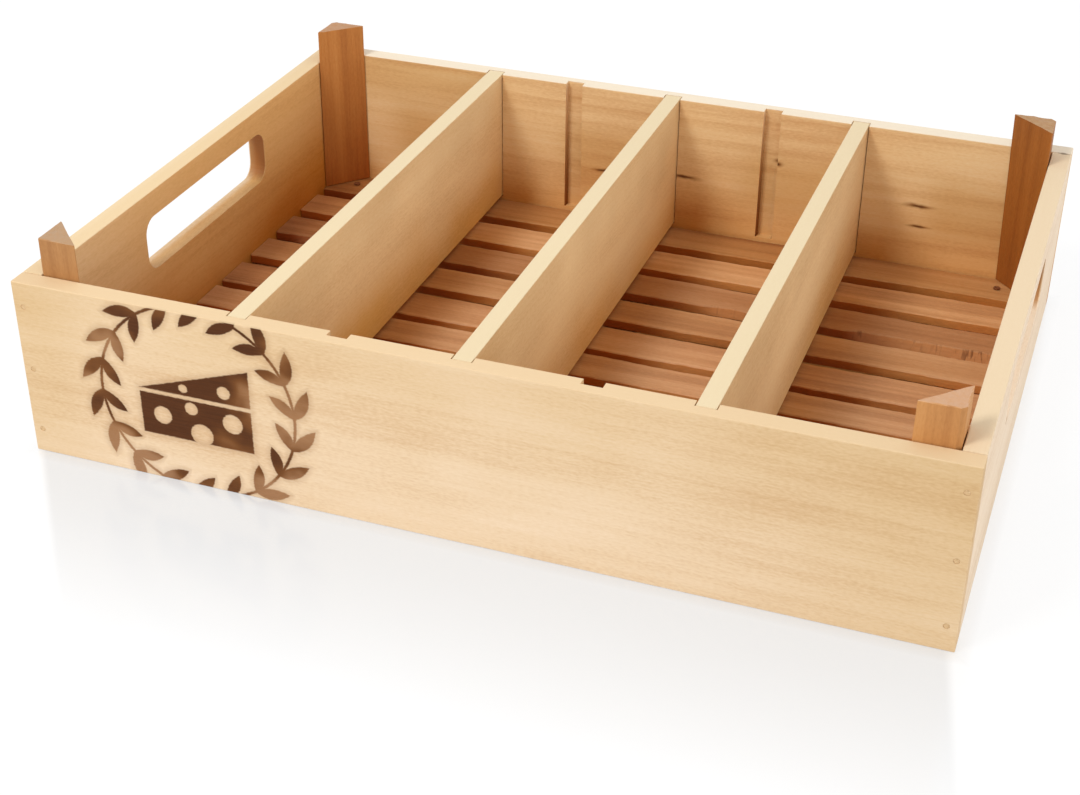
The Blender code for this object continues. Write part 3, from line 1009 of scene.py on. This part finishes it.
def slat_section(name, x, low, high, seed):
    """The rough outline of a slat at one place along it, as (y, z) points."""
    out_front, out_back = SLAT_SPREAD.get(name, (0.0, 0.0))
    front = low.y + edge_wave(x, seed + FRONT_SEED) - out_front
    trim = 0.0 if name == "floor_slat_back" else SLAT_TRIM
    back = high.y + edge_wave(x, seed + BACK_SEED) + out_back - trim
    torn = wane(name, x)
    ridge = torn * WANE_RIDGE * wave(x, WANE_RIDGE_LENGTH, seed)
    shoulder = front + torn * WANE_SLOPE + ridge
    foot = front - torn * WANE_FOOT + ridge
    top = high.z + TOP_SWAY * wave(x, EDGE_SWAY_LENGTH, seed + TOP_SEED) - TOP_SWAY
    points = [(foot + SLAT_EASE, low.z), (foot, low.z + SLAT_EASE)]
    points.append(((foot + shoulder) / 2 - ridge, (low.z + top) / 2))
    points.append((shoulder, top - SLAT_EASE))
    for i in range(SLAT_TOP_POINTS):
        share = i / (SLAT_TOP_POINTS - 1)
        y = shoulder + SLAT_EASE + share * (back - shoulder - 2 * SLAT_EASE)
        ripple = TOP_RIPPLE * wave(x + TOP_RIPPLE_LEAN * y, TOP_RIPPLE_LENGTH, seed + share)
        points.append((y, top + ripple))
    points += [(back, top - SLAT_EASE), (back, low.z + SLAT_EASE), (back - SLAT_EASE, low.z)]
    return points


def shaded_slat_side(top):
    """A paint for a slat's sides, rough from the saw: painted shade in the gaps, darkest beside the dividers.
    """
    start, end = (top + height for height in SLAT_SIDE_TOP)

    def paint(s, point, colour):
        z = s.separate(point)[2]
        ragged = s.product(s.noise(point, SLAT_SIDE_NOISE, 3.0), SLAT_SIDE_RAGGEDNESS)
        side = s.step(s.total(z, ragged), start, end, 1.0, 0.0)
        share, below = compartment_share(s, point, SLAT_SIDE_SWAY)
        away = s.highest(s.step(share, *SLAT_SIDE_AWAY), below)
        return s.mix(side, colour, s.mix(away, shade(SLAT_SIDE_DARK), shade(SLAT_SIDE_PALE)), "MULTIPLY")
    return paint


def slat_foot_painted_shade(s, point, colour):
    """Painted shade on the slats on the right of each divider, which fades out towards the back."""
    x, y, _ = s.separate(point)
    share, below = compartment_share(s, point, SLAT_FOOT_SWAY)
    beside = s.lowest(s.step(share, *SLAT_FOOT_RIGHT), s.minus(1.0, below))
    share = s.product(beside, s.step(y, *SLAT_FOOT_BACK), s.step(x, *SLAT_FOOT_LEFT))
    return s.tint(share, colour, SLAT_FOOT_PAINTED_SHADE)


def torn_fibres(s, point, colour):
    """Short dark cracks between paler torn fibres, which hang from the top edge where the wane is."""
    x, y, z = s.separate(point)
    low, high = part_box(WANE_SLAT)
    near = s.step(y, *(low.y + reach for reach in TORN_REACH))
    torn = 0.0
    for start, end, depth in WANE_STRETCHES:
        inside = s.lowest(s.step(x, start, start + WANE_FADE), s.step(x, end, end - WANE_FADE))
        torn = s.highest(torn, s.product(inside, depth))
    where = s.product(near, torn)
    cracks = s.step(s.noise(point, TORN_CRACK_NOISE, 2.0), 0.50, 0.68)
    clumps = s.step(s.noise(point, TORN_CLUMP_NOISE, 2.0), 0.42, 0.62)
    lengths = s.math("MULTIPLY_ADD", s.noise(point, TORN_LENGTH_NOISE, 1.0), *TORN_LENGTH_RANGE)
    below_top = s.minus(s.minus(z, high.z), lengths)
    hanging = s.step(below_top, 0.0, TORN_LENGTH_EASE)
    colour = s.mix(s.product(where, 0.25), colour, shade(TORN_PALE))
    dark = s.product(cracks, hanging, clumps, where, 0.75)
    return s.mix(dark, colour, shade(TORN_DARK))


def rough_slat(name, number):
    """A slat as it came from the saw, in place of the CAD one."""
    low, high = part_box(name)
    count = round((high.x - low.x) / SLAT_STEP)
    sections = []
    for i in range(count + 1):
        x = low.x + (high.x - low.x) * i / count
        sections.append([(x, y, z) for y, z in slat_section(name, x, low, high, number)])
    item = loft("rough_" + name, sections)
    # Painted shade: towards the left end, on the right of each divider and on the sides in the gaps
    paints = [tinted("X", -0.07, -0.14, SLAT_LEFT_PAINTED_SHADE), slat_foot_painted_shade, shaded_slat_side(high.z)]
    if name in SLAT_TINTS:
        paints.append(lambda s, point, colour: s.tint(1.0, colour, SLAT_TINTS[name]))
    if name == WANE_SLAT:
        paints.append(torn_fibres)
    offset = board_offset(SLAT_NUMBER + number)
    material = wood_material(item.name, WOODS["slat_wood"], "XYZ", offset, (low, high), paints)
    item.data.materials.append(material)
    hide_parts(name)
    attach(item, "crate")


# Nails of plain steel, dulled and browned, and brads in tan resin, which hardly show in the pale wood
STEEL_SHADES = ("9A6642", "7C4C2E", "5C361E")
RESIN_SHADES = ("DCBC90", "CFAB7C", "B89567")
SPOT_PLACES = (0.3, 0.55, 0.75)
SPOT_RELIEF = 0.00005
# The brads: points round the shank, and the outline as (depth behind the head's face, radius)
BRAD_SIDES = 20
BRAD_PROFILE = [
    (0.00004, 0.00030),
    (0.00000, 0.00075),
    (0.00003, 0.00115),
    (0.00015, 0.00127),
    (0.00075, 0.00120),
    (0.00095, 0.00060),
    (0.02300, 0.00060),
    (0.02480, 0.00015),
]


def nail_material(name, spots_per_metre, codes, roughness, metallic=0.0):
    """A nail's material in spots of three shades. Its roughness is a change with the spots and a base."""
    s = Shader(bpy.data.materials.new(name))
    point, _ = s.place()
    spots = s.noise(point, 3 * (spots_per_metre,), 3.0)
    colour = s.ramp(spots, [(place, shade(code)) for place, code in zip(SPOT_PLACES, codes)])
    s.feed(s.surface.inputs["Base Color"], colour)
    s.feed(s.surface.inputs["Roughness"], s.math("MULTIPLY_ADD", spots, *roughness))
    s.surface.inputs["Metallic"].default_value = metallic
    s.bump(spots, SPOT_RELIEF)
    return s.owner


def turned_ring(place, side_y, depth, radius):
    """The points of a ring round a brad, at a depth behind its head's face."""
    turns = [math.tau * i / BRAD_SIDES for i in range(BRAD_SIDES)]
    y = place.y - side_y * depth
    return [(place.x + radius * math.cos(turn), y, place.z + radius * math.sin(turn)) for turn in turns]


def seated_brad(name, material):
    """A brad whose head fills its hole, as one does after it was driven into soft wood."""
    low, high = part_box(name)
    side_y = 1 if high.y + low.y > 0 else -1
    place = (low + high) / 2
    place.y = high.y if side_y > 0 else low.y
    sections = [turned_ring(place, side_y, depth, radius) for depth, radius in BRAD_PROFILE]
    item = loft("seated_" + name, sections)
    item.data.materials.append(material)
    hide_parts(name)
    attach(item, "crate")


def dress_nails():
    steel = nail_material("dull_nail_steel", 1800.0, STEEL_SHADES, roughness=(0.4, 0.3), metallic=0.25)
    resin = nail_material("resin_coated_brad", 1500.0, RESIN_SHADES, roughness=(0.3, 0.4))
    for name, item in list(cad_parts.items()):
        if name.startswith("floor_nail_"):
            item.data.materials.clear()
            item.data.materials.append(steel)
        if name.startswith("brad_"):
            seated_brad(name, resin)


def seen_directly(s):
    """1 for a ray from the camera or a mirror image, 0 for light that falls on a surface."""
    ray = s.node("ShaderNodeLightPath")
    return s.highest(*(ray.outputs[f"Is {kind} Ray"] for kind in ("Camera", "Glossy", "Transmission")))


def floor_light(s, x, y):
    """How light the floor is, with a painted soft shade before the crate's front and a painted dark under it,
    and the share that lies under it.
    """
    low, high = CAD_BOX
    across = s.lowest(s.minus(x, low.x), s.minus(high.x, x))
    ahead = s.minus(low.y, y)
    from_left = s.minus(x, s.math("MULTIPLY_ADD", ahead, FLOOR_SHADE_LEAN_LEFT, low.x))
    from_right = s.minus(s.math("MULTIPLY_ADD", ahead, FLOOR_SHADE_LEAN_RIGHT, high.x), x)
    in_shade = s.step(s.lowest(from_left, from_right), 0.0, FLOOR_SHADE_EDGE)
    before = s.product(in_shade, s.step(ahead, -FLOOR_SHADE_EDGE, 0.0))
    grey = s.product(before, s.step(ahead, 0.0, FLOOR_MIRROR_REACH, 1.0 - FLOOR_SHADE, 0.0))
    depth_under = s.lowest(across, s.product(ahead, -1.0), s.minus(high.y, y))
    under = s.step(depth_under, 0.0, FLOOR_DARK_EDGE)
    dark = s.product(under, 1.0 - FLOOR_UNDER)
    return s.minus(1.0, s.highest(grey, dark)), under


def mirror_share(s, x, y):
    """How much the floor mirrors: nothing under the crate, and less with the distance from its outline."""
    low, high = CAD_BOX
    aside = s.highest(s.minus(low.x, x), s.minus(x, high.x))
    beyond = s.highest(s.minus(low.y, y), s.minus(y, high.y))
    distance = s.highest(aside, beyond)
    seam = s.step(distance, 0.0, FLOOR_MIRROR_SEAM, FLOOR_MIRROR_BESIDE, 0.0)
    wide = s.step(distance, 0.0, FLOOR_MIRROR_REACH, FLOOR_MIRROR_NEAR, FLOOR_MIRROR_FAR)
    return s.product(s.highest(seam, wide), s.step(distance, -FLOOR_SHADE_EDGE, 0.0))


def floor_material():
    """White floor with the crate's soft shadow, partly cast by the lamps and partly painted, and faint mirror
    image.
    """
    s = Shader(bpy.data.materials.new("studio_floor"))
    s.tree.nodes.remove(s.surface)
    x, y, _ = s.separate(s.place()[0])
    light, under = floor_light(s, x, y)
    tone = s.mix(under, (1.0, 1.0, 1.0, 1.0), shade(FLOOR_UNDER_SHADE))
    level = s.product(light, FLOOR_COLOUR)
    matt = s.node("ShaderNodeBsdfDiffuse", s.combine(level, level, level))
    glow = s.node("ShaderNodeEmission", tone, s.product(light, FLOOR_GLOW))
    lit = s.node("ShaderNodeAddShader", matt.outputs[0], glow.outputs[0])
    mirror = s.node("ShaderNodeBsdfGlossy")
    mirror.inputs["Roughness"].default_value = FLOOR_MIRROR_ROUGHNESS
    seen = s.mix_shader(mirror_share(s, x, y), lit.outputs[0], mirror.outputs[0])
    plain = s.node("ShaderNodeBsdfDiffuse", (FLOOR_BOUNCE, FLOOR_BOUNCE, FLOOR_BOUNCE, 1.0))
    chosen = s.mix_shader(seen_directly(s), plain.outputs[0], seen)
    s.feed(s.tree.nodes["Material Output"].inputs["Surface"], chosen)
    return s.owner


def build_floor():
    bm = bmesh.new()
    corners = [(-1, -1), (1, -1), (1, 1), (-1, 1)]
    bm.faces.new([bm.verts.new((x * FLOOR_HALF, y * FLOOR_HALF, 0.0)) for x, y in corners])
    floor = mesh_object("studio_floor", bm)
    floor.location.z = CAD_BOX[0].z - FLOOR_DROP
    floor.data.materials.append(floor_material())


def build_world():
    """A white room, brighter round the horizon, which the camera and glossy surfaces see as plain white."""
    world = bpy.data.worlds.new("studio")
    bpy.context.scene.world = world
    s = Shader(world)
    background = s.tree.nodes["Background"]
    background.inputs["Color"].default_value = (1.0, 1.0, 1.0, 1.0)
    x, y, z = s.separate(s.node("ShaderNodeTexCoord").outputs["Generated"])
    lean = s.total(s.product(x, HORIZON_LEAN_RIGHT), s.product(y, HORIZON_LEAN_BACK))
    horizon = s.total(lean, HORIZON_LEVEL)
    fall = s.minus(ZENITH_LEVEL, horizon)
    level = s.math("MULTIPLY_ADD", fall, s.step(z, HORIZON_TOP, ZENITH_FOOT), horizon)
    to_white = s.minus(1.0, level)
    s.feed(background.inputs["Strength"], s.math("MULTIPLY_ADD", to_white, seen_directly(s), level))


def build_light():
    """One soft box, aimed at the crate."""
    light = bpy.data.lights.new("key", "AREA")
    light.shape = "SQUARE"
    light.size = KEY_SIDE
    light.energy = KEY_WATTS
    item = new_object("key", light)
    item.location = KEY_PLACE
    item.rotation_euler = (-Vector(KEY_PLACE)).to_track_quat("-Z", "Y").to_euler()


def build_camera():
    camera = bpy.data.cameras.new("camera")
    camera.lens = CAMERA_LENS
    camera.sensor_width = CAMERA_SENSOR
    item = new_object("camera", camera)
    item.location = CAMERA_PLACE
    item.rotation_euler = [math.radians(angle) for angle in CAMERA_TURN]
    bpy.context.scene.camera = item


build_camera()
build_world()
build_light()
build_floor()
dress_boards()
dress_nails()
for number, name in enumerate(SLAT_NAMES):
    rough_slat(name, number)
for number, name in enumerate(POST_NAMES):
    rough_post(name, number)
bpy.context.scene.view_settings.view_transform = "Standard"
